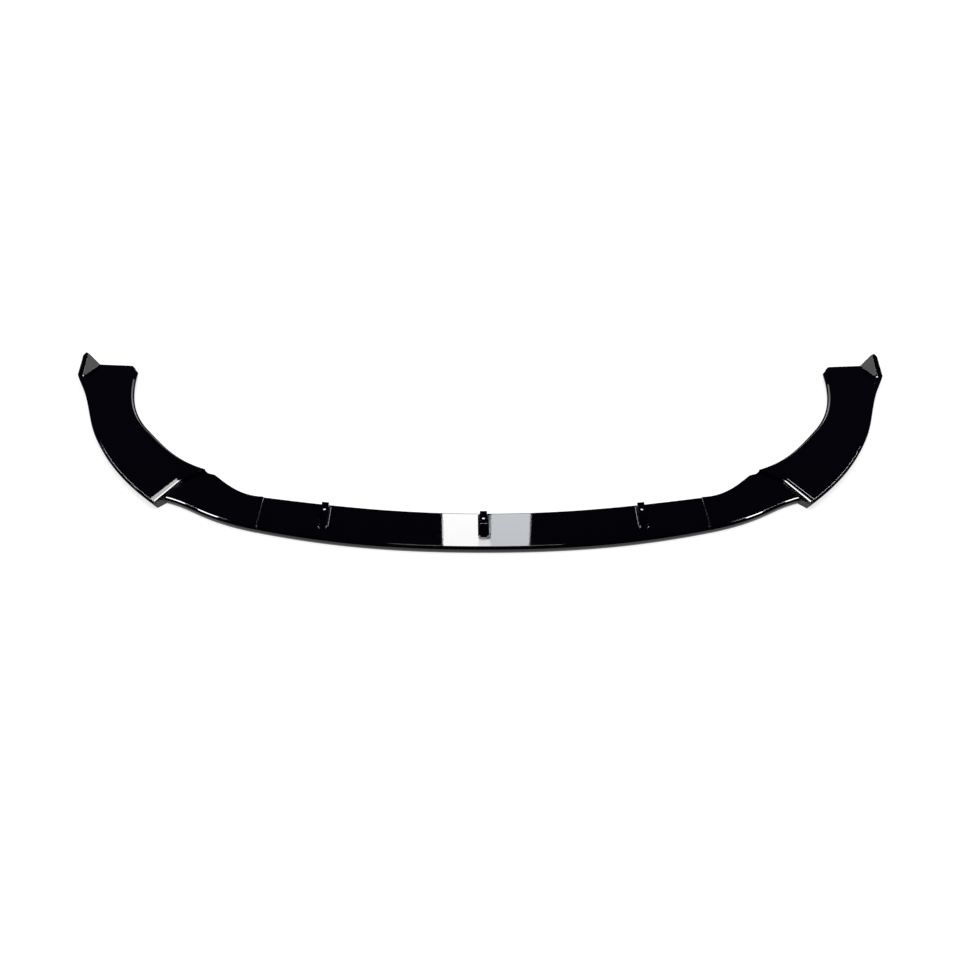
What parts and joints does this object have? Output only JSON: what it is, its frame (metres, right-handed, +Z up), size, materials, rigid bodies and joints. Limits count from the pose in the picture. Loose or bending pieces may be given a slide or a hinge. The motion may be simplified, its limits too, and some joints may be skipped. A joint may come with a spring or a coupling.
{
  "type": "front splitter lip",
  "caption": "Gloss-black front splitter lip for a car's bumper, in bolted mouldings with stepped end plates, raised rear winglets and hollow screw fins.",
  "frame": {"origin": "middle of the footprint, on the floor that the downturned rim stands on", "axes": "+X across the lip to the right end as seen from the front, +Y from the front edge back to the winglets, +Z up"},
  "size_m": [1.76, 0.609, 0.05],
  "materials": {
    "gloss_black": "high gloss",
    "zinc_steel": "bright zinc plating"
  },
  "bodies": {
    "root": {"centre_section": "gloss_black", "left_end_section": "gloss_black", "right_end_section": "gloss_black", "screw_left_front": "zinc_steel", "screw_left_rear": "zinc_steel", "screw_right_front": "zinc_steel", "screw_right_rear": "zinc_steel", "nut_left_front": "zinc_steel", "nut_left_rear": "zinc_steel", "nut_right_front": "zinc_steel", "nut_right_rear": "zinc_steel", "head_washer_left_front": "zinc_steel", "head_washer_left_rear": "zinc_steel", "head_washer_right_front": "zinc_steel", "head_washer_right_rear": "zinc_steel", "nut_washer_left_front": "zinc_steel", "nut_washer_left_rear": "zinc_steel", "nut_washer_right_front": "zinc_steel", "nut_washer_right_rear": "zinc_steel"}
  },
  "joints": []
}
